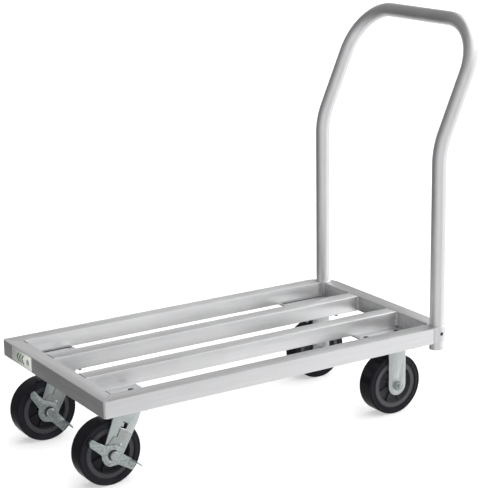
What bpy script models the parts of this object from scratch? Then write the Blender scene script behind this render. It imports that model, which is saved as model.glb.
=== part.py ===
"""Flatbed platform truck: a slatted aluminium deck on two swivel and two rigid casters, with one bent handle.

Metres, +Z up, floor at z = 0. The long axis is X: the handle stands at the +X end, and the swivel
casters with their brakes are at the -X end. Y is the width, and the brake levers face -Y.
"""

import math

import bmesh
import bpy
from mathutils import Matrix, Vector

# Driving dimensions.
DECK_LENGTH = 0.934
DECK_WIDTH = 0.521
DECK_TOP = 0.2266
RAIL_SIZE = 0.0381
WHEEL_RADIUS = 0.075
TREAD_WIDTH = 0.0477
HANDLE_PIPE_RADIUS = 0.01725
GAP = 0.0003

# Deck frame.
RAIL_WALL = 0.003
CORNER_ROUND = 0.007
MITRE_GAP = 0.0005
SLAT_OFFSET = 0.0806
SIDE_RAIL_END_X = 0.4166
REAR_RAIL_END_Y = 0.2121
FRONT_X = -DECK_LENGTH / 2
REAR_X = DECK_LENGTH / 2
OUTER_Y = DECK_WIDTH / 2
INNER_Y = OUTER_Y - RAIL_SIZE
RAIL_BOTTOM = DECK_TOP - RAIL_SIZE

# Handle sockets and handle.
SLEEVE_X = 0.4433
SLEEVE_Y = 0.2385
SLEEVE_RADIUS = 0.0203
SLEEVE_BORE = 0.0177
HANDLE_PIPE_BORE = 0.0143
HANDLE_FOOT_Z = 0.1666
KINK_HEIGHT = 0.6580
KINK_RADIUS = 0.170
HANDLE_TILT = math.radians(24.1)
TILTED_LENGTH = 0.3093
LOOP_RADIUS = 0.1245
LOCK_SCREW_Z = 0.2083
LOCK_SCREW_RADIUS = 0.0042
LOCK_SCREW_RECESS = 0.0008

# Caster mounting plates under the deck.
CORNER_PLATE_THICK = 0.0045
CORNER_PLATE_TOP = RAIL_BOTTOM - GAP
CORNER_PLATE_BOTTOM = CORNER_PLATE_TOP - CORNER_PLATE_THICK
CORNER_PLATE_INNER_Y = 0.0737
CORNER_PLATE_OUTER_Y = 0.2464
FRONT_PLATE_X = (-0.4531, -0.3040)
REAR_PLATE_X = (0.2985, 0.4509)
REAR_NOTCH_X = 0.4225
REAR_NOTCH_Y = 0.2170

# Casters.
CASTER_Y = 0.1608
SWIVEL_AXLE_X = -0.4166
SWIVEL_LEAD = 0.0384
KINGPIN_X = SWIVEL_AXLE_X + SWIVEL_LEAD
RIGID_AXLE_X = 0.3618
CASTER_PLATE_X = 0.1143
CASTER_PLATE_Y = 0.1016
CASTER_PLATE_THICK = 0.0048
CASTER_PLATE_TOP = CORNER_PLATE_BOTTOM - GAP
CASTER_PLATE_BOTTOM = CASTER_PLATE_TOP - CASTER_PLATE_THICK
BOLT_HOLE_RADIUS = 0.0050
BOLT_SPACING_X = 0.0921
BOLT_SPACING_Y = 0.0667
RACE_HEIGHT = 0.0070
RACE_RADIUS = 0.0345
CROWN_TOP = CASTER_PLATE_BOTTOM - RACE_HEIGHT - 2 * GAP
CROWN_THICK = 0.0055
KINGPIN_RADIUS = 0.0060
KINGPIN_HEAD_RADIUS = 0.0110
LEG_INNER_Y = 0.0268
LEG_OUTER_Y = 0.0314
LEG_LEAN = math.radians(27.5)
LEG_END_RADIUS = 0.0254
RIGID_LEG_HALF = 0.0250
AXLE_RADIUS = 0.0060
AXLE_CLEAR = 0.0003
AXLE_HEAD_RADIUS = 0.0108
AXLE_HEAD_HEIGHT = 0.0055
NUT_FLATS = 0.0190
NUT_HEIGHT = 0.0080
BUSH_RADIUS = 0.0095
HUB_BOSS_RADIUS = 0.0185
HUB_BOSS_HALF = 0.0255
HUB_WEB_HALF = 0.0030
HUB_RIM_INNER = 0.0480
HUB_RIM_OUTER = 0.0584
HUB_RIM_HALF = 0.0222
HUB_RIB_COUNT = 8
HUB_RIB_THICK = 0.0040
HUB_RIB_HALF = 0.0120
LEAF_THICK = 0.0020
LEVER_THICK = 0.0032
LEVER_FLANGE = 0.0265
BRAKE_SWING = math.radians(15)

TUBE_SEGMENTS = 16
TREAD_SEGMENTS = 40
HUB_SEGMENTS = 32

METALS = {
    "aluminium": ((0.80, 0.81, 0.82, 1), 1.0, 0.38),
    "zinc": ((0.70, 0.73, 0.72, 1), 1.0, 0.34),
    "rubber": ((0.018, 0.017, 0.021, 1), 0.0, 0.42),
    "hub_plastic": ((0.075, 0.075, 0.080, 1), 0.0, 0.5),
    "label": ((0.72, 0.73, 0.74, 1), 0.0, 0.4),
}


def clear_scene():
    for thing in list(bpy.data.objects):
        bpy.data.objects.remove(thing, do_unlink=True)


def paint(thing, kind):
    """Gives the object its own Principled material of this kind."""
    colour, metallic, roughness = METALS[kind]
    material = bpy.data.materials.new(thing.name + "_" + kind)
    material.use_nodes = True
    shader = material.node_tree.nodes["Principled BSDF"]
    shader.inputs["Base Color"].default_value = colour
    shader.inputs["Metallic"].default_value = metallic
    shader.inputs["Roughness"].default_value = roughness
    thing.data.materials.append(material)


def build(name, points, faces, origin, kind, smooth_angle=None):
    """A mesh object from points given about its origin, with its faces turned outward."""
    mesh = bpy.data.meshes.new(name)
    mesh.from_pydata([tuple(point) for point in points], [], faces)
    work = bmesh.new()
    work.from_mesh(mesh)
    bmesh.ops.recalc_face_normals(work, faces=work.faces)
    work.to_mesh(mesh)
    work.free()
    mesh.update()
    thing = bpy.data.objects.new(name, mesh)
    thing.location = origin
    bpy.context.scene.collection.objects.link(thing)
    if kind:
        paint(thing, kind)
    if smooth_angle:
        mesh.shade_smooth()
        mesh.set_sharp_from_angle(angle=math.radians(smooth_angle))
    return thing


def place(axis, along, a, b):
    """A point whose plane coordinates are a, b and whose distance along the axis is given."""
    if axis == "X":
        return (along, a, b)
    if axis == "Y":
        return (a, along, b)
    return (a, b, along)


def prism(name, outline, axis, low, high, origin=(0, 0, 0), kind=None):
    """An outline in the plane across the axis, pushed from low to high."""
    count = len(outline)
    points = [place(axis, low, a, b) for a, b in outline]
    points += [place(axis, high, a, b) for a, b in outline]
    faces = [list(range(count)), list(range(count, 2 * count))]
    for i in range(count):
        j = (i + 1) % count
        faces.append([i, j, count + j, count + i])
    return build(name, points, faces, origin, kind)


def lathe(name, profile, axis, segments, origin=(0, 0, 0), kind=None, smooth_angle=35):
    """A closed profile of (radius, distance along the axis), turned about the axis."""
    points = []
    rings = []
    for radius, along in profile:
        if radius == 0:
            rings.append([len(points)] * segments)
            points.append(place(axis, along, 0, 0))
            continue
        rings.append(list(range(len(points), len(points) + segments)))
        for i in range(segments):
            angle = 2 * math.pi * i / segments
            points.append(place(axis, along, radius * math.cos(angle), radius * math.sin(angle)))
    faces = []
    for ring, after in zip(rings, rings[1:] + rings[:1]):
        for i in range(segments):
            j = (i + 1) % segments
            corners = []
            for corner in (ring[i], ring[j], after[j], after[i]):
                if corner not in corners:
                    corners.append(corner)
            if len(corners) > 2:
                faces.append(corners)
    return build(name, points, faces, origin, kind, smooth_angle)


def rectangle(a0, a1, b0, b1):
    return [(a0, b0), (a1, b0), (a1, b1), (a0, b1)]


def rounded_rectangle(a0, a1, b0, b1, radius, steps=4):
    outline = []
    centres = ((a1 - radius, b1 - radius), (a0 + radius, b1 - radius),
               (a0 + radius, b0 + radius), (a1 - radius, b0 + radius))
    for quarter, centre in enumerate(centres):
        outline += arc(centre, radius, 90 * quarter, 90 * quarter + 90, steps)
    return outline


def arc(centre, radius, start, end, steps):
    """Points on a circle from start to end, in degrees."""
    points = []
    for i in range(steps + 1):
        angle = math.radians(start + (end - start) * i / steps)
        points.append((centre[0] + radius * math.cos(angle), centre[1] + radius * math.sin(angle)))
    return points


def circle(centre, radius, segments):
    return arc(centre, radius, 0, 360 * (segments - 1) / segments, segments - 1)


def hexagon(flats, turn=0):
    radius = flats / math.sqrt(3)
    return arc((0, 0), radius, turn, turn + 300, 5)


def apply_tool(target, tool, operation):
    """A Boolean of the target with a hidden tool object."""
    tool.hide_render = True
    tool.display_type = "WIRE"
    modifier = target.modifiers.new(tool.name, "BOOLEAN")
    modifier.operation = operation
    modifier.solver = "EXACT"
    modifier.object = tool
    return modifier


def drill(target, name, axis, centre, radius, low, high, segments=16):
    """Cuts a round hole along an axis through the point."""
    tool = prism(name, circle((0, 0), radius, segments), axis, low, high, centre)
    apply_tool(target, tool, "DIFFERENCE")


def side_rail(side, word):
    """A square tube, mitred and rounded at the front corner and square at the handle end."""
    start = FRONT_X + CORNER_ROUND
    corner = arc((start, OUTER_Y - CORNER_ROUND), CORNER_ROUND, 135, 90, 4)
    corner[0] = (corner[0][0] + MITRE_GAP, corner[0][1])
    outline = corner + [
        (SIDE_RAIL_END_X, OUTER_Y),
        (SIDE_RAIL_END_X, INNER_Y),
        (FRONT_X + RAIL_SIZE + MITRE_GAP, INNER_Y),
    ]
    outline = [(x, side * y) for x, y in outline]
    rail = prism("side_rail_" + word, outline, "Z", RAIL_BOTTOM, DECK_TOP, kind="aluminium")
    hollow = rectangle(INNER_Y + RAIL_WALL, OUTER_Y - RAIL_WALL, RAIL_BOTTOM + RAIL_WALL, DECK_TOP - RAIL_WALL)
    hollow = [(side * y, z) for y, z in hollow]
    tool = prism("side_rail_hollow_" + word, hollow, "X", FRONT_X - 0.02, REAR_X, kind=None)
    apply_tool(rail, tool, "DIFFERENCE")


def front_rail():
    """The tube across the swivel end, mitred into both side rails."""
    start = FRONT_X + CORNER_ROUND
    far = arc((start, OUTER_Y - CORNER_ROUND), CORNER_ROUND, 135, 180, 4)
    near = [(x, -y) for x, y in reversed(far)]
    outline = far + near + [(FRONT_X + RAIL_SIZE, -INNER_Y), (FRONT_X + RAIL_SIZE, INNER_Y)]
    rail = prism("end_rail_front", outline, "Z", RAIL_BOTTOM, DECK_TOP, kind="aluminium")
    hollow = rectangle(FRONT_X + RAIL_WALL, FRONT_X + RAIL_SIZE - RAIL_WALL,
                       RAIL_BOTTOM + RAIL_WALL, DECK_TOP - RAIL_WALL)
    tool = prism("front_rail_hollow", hollow, "Y", -OUTER_Y - 0.02, OUTER_Y + 0.02)
    apply_tool(rail, tool, "DIFFERENCE")


def square_tube(name, axis, low, high, a_middle, kind="aluminium"):
    """A straight deck tube along X or Y, open at both ends."""
    half = RAIL_SIZE / 2
    middle = (RAIL_BOTTOM + DECK_TOP) / 2
    outer = rectangle(a_middle - half, a_middle + half, middle - half, middle + half)
    inset = half - RAIL_WALL
    inner = rectangle(a_middle - inset, a_middle + inset, middle - inset, middle + inset)
    points = [place(axis, end, a, b) for end in (low, high) for ring in (outer, inner) for a, b in ring]
    faces = []
    for i in range(4):
        j = (i + 1) % 4
        faces.append([i, j, 8 + j, 8 + i])
        faces.append([4 + j, 4 + i, 12 + i, 12 + j])
        faces.append([j, i, 4 + i, 4 + j])
        faces.append([8 + i, 8 + j, 12 + j, 12 + i])
    return build(name, points, faces, (0, 0, 0), kind)


def sleeve_joint(side, word):
    """The round socket of one handle leg, the two welds that tie it to the rails, and its locking screw."""
    profile = [(SLEEVE_BORE, RAIL_BOTTOM), (SLEEVE_RADIUS, RAIL_BOTTOM),
               (SLEEVE_RADIUS, DECK_TOP), (SLEEVE_BORE, DECK_TOP)]
    centre = (SLEEVE_X, side * SLEEVE_Y, 0)
    sleeve = lathe("handle_socket_" + word, profile, "Z", 28, centre, "aluminium")
    screw_hole(sleeve, "socket_hole_" + word, side)

    reach = SLEEVE_RADIUS + GAP
    fillet = 0.0006
    round_face = arc((SLEEVE_X, SLEEVE_Y), reach, 128, 222, 7)
    side_weld = [(SIDE_RAIL_END_X + GAP, OUTER_Y - fillet), (SLEEVE_X - 0.0155, OUTER_Y - fillet)]
    side_weld += round_face
    side_weld += [(SLEEVE_X - 0.0160, INNER_Y + fillet), (SIDE_RAIL_END_X + GAP, INNER_Y + fillet)]
    side_weld = [(x, side * y) for x, y in side_weld]
    prism("weld_side_" + word, side_weld, "Z", RAIL_BOTTOM + fillet, DECK_TOP - fillet, kind="aluminium")

    round_face = arc((SLEEVE_X, SLEEVE_Y), reach, -132, -40, 7)
    end_weld = [(REAR_X - fillet, REAR_RAIL_END_Y + GAP), (REAR_X - fillet, SLEEVE_Y - 0.0135)]
    end_weld += list(reversed(round_face))
    end_weld += [(round_face[0][0], REAR_RAIL_END_Y + GAP)]
    end_weld = [(x, side * y) for x, y in end_weld]
    prism("weld_end_" + word, end_weld, "Z", RAIL_BOTTOM + fillet, DECK_TOP - fillet, kind="aluminium")

    outside = SLEEVE_Y + SLEEVE_RADIUS - LOCK_SCREW_RECESS
    inside = SLEEVE_Y + HANDLE_PIPE_BORE - 0.001
    screw = rectangle(0, LOCK_SCREW_RADIUS, inside, outside)
    screw = [(radius, side * along) for radius, along in screw]
    lathe("lock_screw_" + word, screw, "Y", 14, (SLEEVE_X, 0, LOCK_SCREW_Z), "zinc")


def screw_hole(target, name, side):
    """The hole for a locking screw, from the outside of the socket to the bore of the handle pipe."""
    tool = prism(name, circle((0, 0), LOCK_SCREW_RADIUS + GAP, 14), "Y",
                 side * (SLEEVE_Y + 0.008), side * (SLEEVE_Y + 0.030), (SLEEVE_X, 0, LOCK_SCREW_Z))
    apply_tool(target, tool, "DIFFERENCE")


def handle_path():
    """Points along the pipe's middle line, from the near foot over the top to the far foot."""
    lead_in = KINK_RADIUS * math.tan(HANDLE_TILT / 2)
    half = [Vector((SLEEVE_X, -SLEEVE_Y, HANDLE_FOOT_Z)),
            Vector((SLEEVE_X, -SLEEVE_Y, (HANDLE_FOOT_Z + KINK_HEIGHT) / 2))]
    for i in range(6):
        angle = HANDLE_TILT * i / 5
        half.append(Vector((SLEEVE_X + KINK_RADIUS * (1 - math.cos(angle)), -SLEEVE_Y,
                            KINK_HEIGHT - lead_in + KINK_RADIUS * math.sin(angle))))
    up = Vector((math.sin(HANDLE_TILT), 0, math.cos(HANDLE_TILT)))
    kink = Vector((SLEEVE_X, -SLEEVE_Y, KINK_HEIGHT))
    for i in range(10):
        angle = math.pi / 2 * i / 9
        rise = TILTED_LENGTH - LOOP_RADIUS + LOOP_RADIUS * math.sin(angle)
        inward = Vector((0, LOOP_RADIUS * (1 - math.cos(angle)), 0))
        half.append(kink + up * rise + inward)
    other = [Vector((point.x, -point.y, point.z)) for point in reversed(half)]
    return half + other


def ring_frames(path):
    """A frame across the pipe at each path point, carried along with no twist."""
    frames = []
    side = Vector((1, 0, 0))
    for i, point in enumerate(path):
        before = path[max(i - 1, 0)]
        after = path[min(i + 1, len(path) - 1)]
        tangent = (after - point).normalized() + (point - before).normalized()
        if tangent.length == 0:
            tangent = after - before
        tangent.normalize()
        side = (side - tangent * side.dot(tangent)).normalized()
        frames.append((point, side.copy(), tangent.cross(side)))
    return frames


def handle():
    """One bent pipe, open at both feet, drilled for the two locking screws."""
    frames = ring_frames(handle_path())
    points = []
    faces = []
    shells = []
    segments = TUBE_SEGMENTS
    for radius in (HANDLE_PIPE_RADIUS, HANDLE_PIPE_BORE):
        rings = []
        for centre, side, lift in frames:
            rings.append(list(range(len(points), len(points) + segments)))
            for i in range(segments):
                angle = 2 * math.pi * i / segments
                points.append(centre + (side * math.cos(angle) + lift * math.sin(angle)) * radius)
        for ring, after in zip(rings, rings[1:]):
            for i in range(segments):
                j = (i + 1) % segments
                faces.append([ring[i], ring[j], after[j], after[i]])
        shells.append(rings)
    for end in (0, -1):
        outer, inner = shells[0][end], shells[1][end]
        for i in range(TUBE_SEGMENTS):
            j = (i + 1) % TUBE_SEGMENTS
            faces.append([outer[i], outer[j], inner[j], inner[i]])
    pipe = build("handle", points, faces, (0, 0, 0), "aluminium", 40)
    screw_hole(pipe, "handle_hole_near", -1)
    screw_hole(pipe, "handle_hole_far", 1)


def bolt_holes(target, name, middle_x, middle_y):
    """Four holes on the caster's bolt pattern, about the object's own origin."""
    outlines = []
    for sx in (-0.5, 0.5):
        for sy in (-0.5, 0.5):
            outlines.append((middle_x + sx * BOLT_SPACING_X, middle_y + sy * BOLT_SPACING_Y))
    for i, centre in enumerate(outlines):
        tool = prism(name + "_" + str(i), circle(centre, BOLT_HOLE_RADIUS, 12), "Z", -0.02, 0.02, target.location)
        apply_tool(target, tool, "DIFFERENCE")


def corner_plate(name, span, side, bolt_x):
    """A flat plate under the rails, for one caster; the rear ones are notched round the handle's foot."""
    outline = rounded_rectangle(span[0], span[1], CORNER_PLATE_INNER_Y, CORNER_PLATE_OUTER_Y, 0.004, 2)
    if span[1] > 0:
        outline = [(span[0], CORNER_PLATE_INNER_Y), (span[1], CORNER_PLATE_INNER_Y), (span[1], REAR_NOTCH_Y),
                   (REAR_NOTCH_X, REAR_NOTCH_Y), (REAR_NOTCH_X, CORNER_PLATE_OUTER_Y),
                   (span[0], CORNER_PLATE_OUTER_Y)]
    outline = [(x - bolt_x, side * (y - CASTER_Y)) for x, y in outline]
    plate = prism(name, outline, "Z", -CORNER_PLATE_THICK, 0,
                  (bolt_x, side * CASTER_Y, CORNER_PLATE_TOP), "aluminium")
    bolt_holes(plate, name + "_hole", 0, 0)


def caster_plate(name, x, y):
    outline = rounded_rectangle(-CASTER_PLATE_X / 2, CASTER_PLATE_X / 2,
                                -CASTER_PLATE_Y / 2, CASTER_PLATE_Y / 2, 0.006, 3)
    plate = prism(name, outline, "Z", -CASTER_PLATE_THICK, 0, (x, y, CASTER_PLATE_TOP), "zinc")
    bolt_holes(plate, name + "_hole", 0, 0)
    return plate


def fork_bend(name, top, thick, origin):
    """The hidden U section that turns a block into a fork of bent sheet."""
    bend = 0.006
    inner_bend = 0.0025
    low = -0.040
    outline = [(-LEG_OUTER_Y, low), (-LEG_INNER_Y, low)]
    outline += arc((-LEG_INNER_Y + inner_bend, top - thick - inner_bend), inner_bend, 180, 90, 3)
    outline += arc((LEG_INNER_Y - inner_bend, top - thick - inner_bend), inner_bend, 90, 0, 3)
    outline += [(LEG_INNER_Y, low), (LEG_OUTER_Y, low)]
    outline += arc((LEG_OUTER_Y - bend, top - bend), bend, 0, 90, 4)
    outline += arc((-LEG_OUTER_Y + bend, top - bend), bend, 90, 180, 4)
    return prism(name, outline, "X", -0.12, 0.12, origin)


def leaned(across, along):
    """A point given across and along the leaning leg, from the axle."""
    return (across * math.cos(LEG_LEAN) + along * math.sin(LEG_LEAN),
            -across * math.sin(LEG_LEAN) + along * math.cos(LEG_LEAN))


def swivel_fork(name, y):
    """Leaning legs under a crown that turns about the kingpin; the origin is on the kingpin's axis."""
    top = CROWN_TOP - WHEEL_RADIUS
    lean = math.degrees(LEG_LEAN)
    outline = arc((0, 0), LEG_END_RADIUS, 180 - lean, 360 - lean, 10)
    outline += [leaned(0.0276, 0.056), (0.0648, 0.0648), (0.0737, 0.0851), (0.0749, top), (0.0105, top)]
    outline = [(x - SWIVEL_LEAD, z) for x, z in outline]
    origin = (KINGPIN_X, y, WHEEL_RADIUS)
    fork = prism(name, outline, "Y", -0.04, 0.04, origin, "zinc")
    bend = fork_bend(name + "_section", top, CROWN_THICK, origin)
    apply_tool(fork, bend, "INTERSECT")
    window = [leaned(-0.0076, 0.062), leaned(0.0076, 0.062), leaned(0.0076, 0.0765), leaned(-0.0076, 0.0765)]
    window = [(x - SWIVEL_LEAD, z) for x, z in window]
    tool = prism(name + "_window", window, "Y", -0.045, -0.02, origin)
    apply_tool(fork, tool, "DIFFERENCE")
    drill(fork, name + "_axle_hole", "Y", (SWIVEL_AXLE_X, y, WHEEL_RADIUS), AXLE_RADIUS + GAP, -0.05, 0.05)
    drill(fork, name + "_kingpin_hole", "Z", (KINGPIN_X, y, CROWN_TOP), KINGPIN_RADIUS + GAP, -0.02, 0.02)


def rigid_fork(name, y):
    """Straight legs and a crown fixed under the rigid caster's plate."""
    top = CASTER_PLATE_BOTTOM - GAP - WHEEL_RADIUS
    outline = arc((0, 0), RIGID_LEG_HALF, 180, 360, 12)
    outline += [(RIGID_LEG_HALF, top), (-RIGID_LEG_HALF, top)]
    origin = (RIGID_AXLE_X, y, WHEEL_RADIUS)
    fork = prism(name, outline, "Y", -0.04, 0.04, origin, "zinc")
    bend = fork_bend(name + "_section", top, CROWN_THICK, origin)
    apply_tool(fork, bend, "INTERSECT")
    drill(fork, name + "_axle_hole", "Y", origin, AXLE_RADIUS + GAP, -0.05, 0.05)


def wheel(word, x, y):
    """Bush, hub and tread of one wheel, all about the axle."""
    origin = (x, y, WHEEL_RADIUS)
    half = LEG_INNER_Y - GAP
    bush = [(AXLE_RADIUS + GAP, -half), (BUSH_RADIUS, -half), (BUSH_RADIUS, half), (AXLE_RADIUS + GAP, half)]
    lathe("bush_" + word, bush, "Y", 20, origin, "zinc")

    bore = BUSH_RADIUS + GAP
    lip = 0.0015
    profile = [
        (bore, -HUB_BOSS_HALF), (HUB_BOSS_RADIUS, -HUB_BOSS_HALF), (HUB_BOSS_RADIUS + lip, -HUB_WEB_HALF),
        (HUB_RIM_INNER - lip, -HUB_WEB_HALF), (HUB_RIM_INNER, -HUB_RIM_HALF), (HUB_RIM_OUTER, -HUB_RIM_HALF),
    ]
    profile += [(radius, -along) for radius, along in reversed(profile)]
    hub = lathe("hub_" + word, profile, "Y", HUB_SEGMENTS, origin, "hub_plastic")
    star = []
    step = 360 / HUB_RIB_COUNT
    tip = HUB_RIM_INNER + 0.002
    for i in range(HUB_RIB_COUNT):
        turn = math.radians(step * i)
        along = Vector((math.cos(turn), math.sin(turn)))
        across = Vector((-math.sin(turn), math.cos(turn))) * (HUB_RIB_THICK / 2)
        star.append(tuple(along * tip - across))
        star.append(tuple(along * tip + across))
        notch = turn + math.radians(step / 2)
        inner = HUB_RIB_THICK / 2 / math.sin(math.radians(step / 2))
        star.append((inner * math.cos(notch), inner * math.sin(notch)))
    ribs = prism("hub_ribs_" + word, star, "Y", -HUB_RIB_HALF, HUB_RIB_HALF, origin)
    apply_tool(hub, ribs, "UNION")
    drill(hub, "hub_bore_" + word, "Y", origin, bore, -0.03, 0.03, 20)

    inner = HUB_RIM_OUTER + GAP
    edge = TREAD_WIDTH / 2
    shoulder = 0.011
    flank = 0.0015
    tread = [(inner, -edge + flank), (inner + 0.002, -edge)]
    tread += [(WHEEL_RADIUS - shoulder + shoulder * math.sin(math.radians(turn)),
               -edge + shoulder * (1 - math.cos(math.radians(turn)))) for turn in (30, 60, 90)]
    tread += [(radius, -along) for radius, along in reversed(tread)]
    lathe("tread_" + word, tread, "Y", TREAD_SEGMENTS, origin, "rubber", 60)


def axle_set(word, x, y, stack, round_head):
    """Axle bolt with its head on the -Y side, over whatever plates lie on that leg, and a nut on the other."""
    origin = (x, y, WHEEL_RADIUS)
    seat = -(LEG_OUTER_Y + stack + GAP)
    end = LEG_OUTER_Y + NUT_HEIGHT + 0.004
    if round_head:
        head = [(AXLE_HEAD_RADIUS, seat), (AXLE_HEAD_RADIUS, seat - AXLE_HEAD_HEIGHT * 0.55),
                (AXLE_HEAD_RADIUS * 0.8, seat - AXLE_HEAD_HEIGHT * 0.88), (0, seat - AXLE_HEAD_HEIGHT)]
    else:
        head = [(AXLE_RADIUS + 0.001, seat), (AXLE_RADIUS + 0.001, seat - 0.002), (0, seat - 0.002)]
    profile = [(0, end), (AXLE_RADIUS - 0.001, end), (AXLE_RADIUS, end - 0.001), (AXLE_RADIUS, seat)] + head
    bolt = lathe("axle_" + word, profile, "Y", 20, origin, "zinc")
    if not round_head:
        hex_head = prism("axle_hex_" + word, hexagon(NUT_FLATS, 12), "Y", seat - NUT_HEIGHT * 0.8, seat, origin)
        apply_tool(bolt, hex_head, "UNION")
    nut = prism("axle_nut_" + word, hexagon(NUT_FLATS), "Y",
                LEG_OUTER_Y + GAP, LEG_OUTER_Y + GAP + NUT_HEIGHT, origin, "zinc")
    drill(nut, "nut_bore_" + word, "Y", origin, AXLE_RADIUS + AXLE_CLEAR, 0, 0.06, 16)


def brake_leaf(word, x, y):
    """The flat anchor plate that lies on the fork's outer face, under the lever."""
    origin = (x, y, WHEEL_RADIUS)
    outline = [leaned(0.0220, 0.0085), leaned(0.0250, 0.0560), leaned(0.0075, 0.0595), leaned(-0.0071, 0.0600),
               leaned(-0.0071, 0.0402), leaned(-0.0150, 0.0385), leaned(-0.0190, 0.0280)]
    outline += arc((0, 0), 0.0235, 148, 325, 10)
    outer = -LEG_OUTER_Y - GAP
    leaf = prism("brake_leaf_" + word, outline, "Y", outer - LEAF_THICK, outer, origin, "zinc")
    drill(leaf, "leaf_hole_" + word, "Y", origin, AXLE_RADIUS + GAP, -0.05, 0.05)


def brake_lever(word, x, y, turn):
    """The brake lever: two arms about the axle, a foot flange turned out and a brake shoe turned in."""
    origin = (x, y, WHEEL_RADIUS)
    inner = -LEG_OUTER_Y - LEAF_THICK - 2 * GAP
    outer = inner - LEVER_THICK
    tip = (-0.0472, 0.0366)
    outline = arc(tip, 0.0104, 100, 228, 6)
    outline += arc((-0.0038, 0.0013), 0.0254, 170, 275, 7)
    outline += [(0.0114, -0.0238), (0.0447, -0.0442), (0.0559, -0.0269), (0.0241, -0.0025)]
    outline += arc((0, 0), 0.0240, 12, 95, 5)
    outline += [(-0.0178, 0.0262), (-0.0381, 0.0381)]
    lever = prism("brake_lever_" + word, outline, "Y", outer, inner, origin, "zinc")

    along = Vector((0.0559 - 0.0241, -0.0269 + 0.0025)).normalized()
    across = Vector((-along.y, along.x))
    end = Vector((0.0559, -0.0269))
    flange = [end, end - along * 0.0150, end - along * 0.0150 - across * 0.0028, end - across * 0.0028]
    tool = prism("lever_flange_" + word, [tuple(p) for p in flange], "Y",
                 outer - LEVER_FLANGE, inner - LEVER_THICK / 2, origin)
    apply_tool(lever, tool, "UNION")

    middle = Vector(tip)
    away = middle.normalized()
    sideways = Vector((-away.y, away.x))
    pad = [middle + away * 0.0085 + sideways * 0.0055, middle + away * 0.0085 - sideways * 0.0055,
           middle + away * 0.0050 - sideways * 0.0055, middle + away * 0.0050 + sideways * 0.0055]
    tool = prism("lever_shoe_" + word, [tuple(p) for p in pad], "Y",
                 outer + LEVER_THICK / 2, -TREAD_WIDTH / 2 - 0.0015, origin)
    apply_tool(lever, tool, "UNION")
    drill(lever, "lever_hole_" + word, "Y", origin, AXLE_RADIUS + GAP, -0.05, 0.05)
    for thing in [lever] + [m.object for m in lever.modifiers]:
        thing.data.transform(Matrix.Rotation(turn, 4, "Y"))


def swivel_caster(side, word):
    y = side * CASTER_Y
    plate = caster_plate("caster_plate_" + word, KINGPIN_X, y)
    drill(plate, "plate_kingpin_" + word, "Z", plate.location, KINGPIN_HEAD_RADIUS + GAP, -0.02, 0.02, 20)
    low = CASTER_PLATE_BOTTOM - GAP - RACE_HEIGHT
    high = CASTER_PLATE_BOTTOM - GAP
    bore = KINGPIN_RADIUS + GAP
    race = [(bore, low), (RACE_RADIUS * 0.62, low), (RACE_RADIUS * 0.9, low + 0.0012), (RACE_RADIUS, low + 0.0034),
            (RACE_RADIUS, high - 0.0012), (RACE_RADIUS * 0.93, high), (bore, high)]
    lathe("swivel_race_" + word, race, "Z", 24, (KINGPIN_X, y, 0), "zinc")
    head_top = CASTER_PLATE_TOP - GAP
    head_low = CASTER_PLATE_BOTTOM
    foot = CROWN_TOP - CROWN_THICK - 0.0105
    nut_low = foot + 0.002
    nut_high = CROWN_TOP - CROWN_THICK - GAP
    pin = [(0, foot), (KINGPIN_RADIUS * 0.85, foot), (KINGPIN_RADIUS, nut_low), (KINGPIN_RADIUS * 1.6, nut_low),
           (KINGPIN_RADIUS * 1.6, nut_high), (KINGPIN_RADIUS, nut_high),
           (KINGPIN_RADIUS, head_low), (KINGPIN_HEAD_RADIUS, head_low), (KINGPIN_HEAD_RADIUS, head_top), (0, head_top)]
    lathe("kingpin_" + word, pin, "Z", 20, (KINGPIN_X, y, 0), "zinc")
    swivel_fork("swivel_fork_" + word, y)
    brake_leaf(word, SWIVEL_AXLE_X, y)
    brake_lever(word, SWIVEL_AXLE_X, y, BRAKE_SWING if side > 0 else 0)
    axle_set("front_" + word, SWIVEL_AXLE_X, y, LEAF_THICK + LEVER_THICK + 2 * GAP, True)
    wheel("front_" + word, SWIVEL_AXLE_X, y)


def rigid_caster(side, word):
    y = side * CASTER_Y
    caster_plate("rigid_plate_" + word, RIGID_AXLE_X, y)
    rigid_fork("rigid_fork_" + word, y)
    axle_set("rear_" + word, RIGID_AXLE_X, y, 0, False)
    wheel("rear_" + word, RIGID_AXLE_X, y)


def deck_label():
    """A thin blank plate on the front rail, near the far corner."""
    outline = rounded_rectangle(0.1020, 0.2060, RAIL_BOTTOM + 0.0015, DECK_TOP - 0.0015, 0.002, 2)
    prism("deck_label", outline, "X", FRONT_X - GAP - 0.0006, FRONT_X - GAP, kind="label")


def centre_over_origin():
    """Moves everything along X so that the middle of the whole truck's length is over the origin."""
    rear = SLEEVE_X + TILTED_LENGTH * math.sin(HANDLE_TILT) + HANDLE_PIPE_RADIUS
    front = SWIVEL_AXLE_X - WHEEL_RADIUS
    for thing in bpy.data.objects:
        thing.location.x -= (front + rear) / 2


def main():
    clear_scene()
    front_rail()
    square_tube("end_rail_rear", "Y", -REAR_RAIL_END_Y, REAR_RAIL_END_Y, REAR_X - RAIL_SIZE / 2)
    slat_low = FRONT_X + RAIL_SIZE + GAP
    slat_high = REAR_X - RAIL_SIZE - GAP
    handle()
    for side, word in ((-1, "near"), (1, "far")):
        side_rail(side, word)
        square_tube("deck_slat_" + word, "X", slat_low, slat_high, side * SLAT_OFFSET)
        sleeve_joint(side, word)
        corner_plate("corner_plate_front_" + word, FRONT_PLATE_X, side, KINGPIN_X)
        corner_plate("corner_plate_rear_" + word, REAR_PLATE_X, side, RIGID_AXLE_X)
        swivel_caster(side, word)
        rigid_caster(side, word)
    deck_label()
    centre_over_origin()


main()
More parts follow.
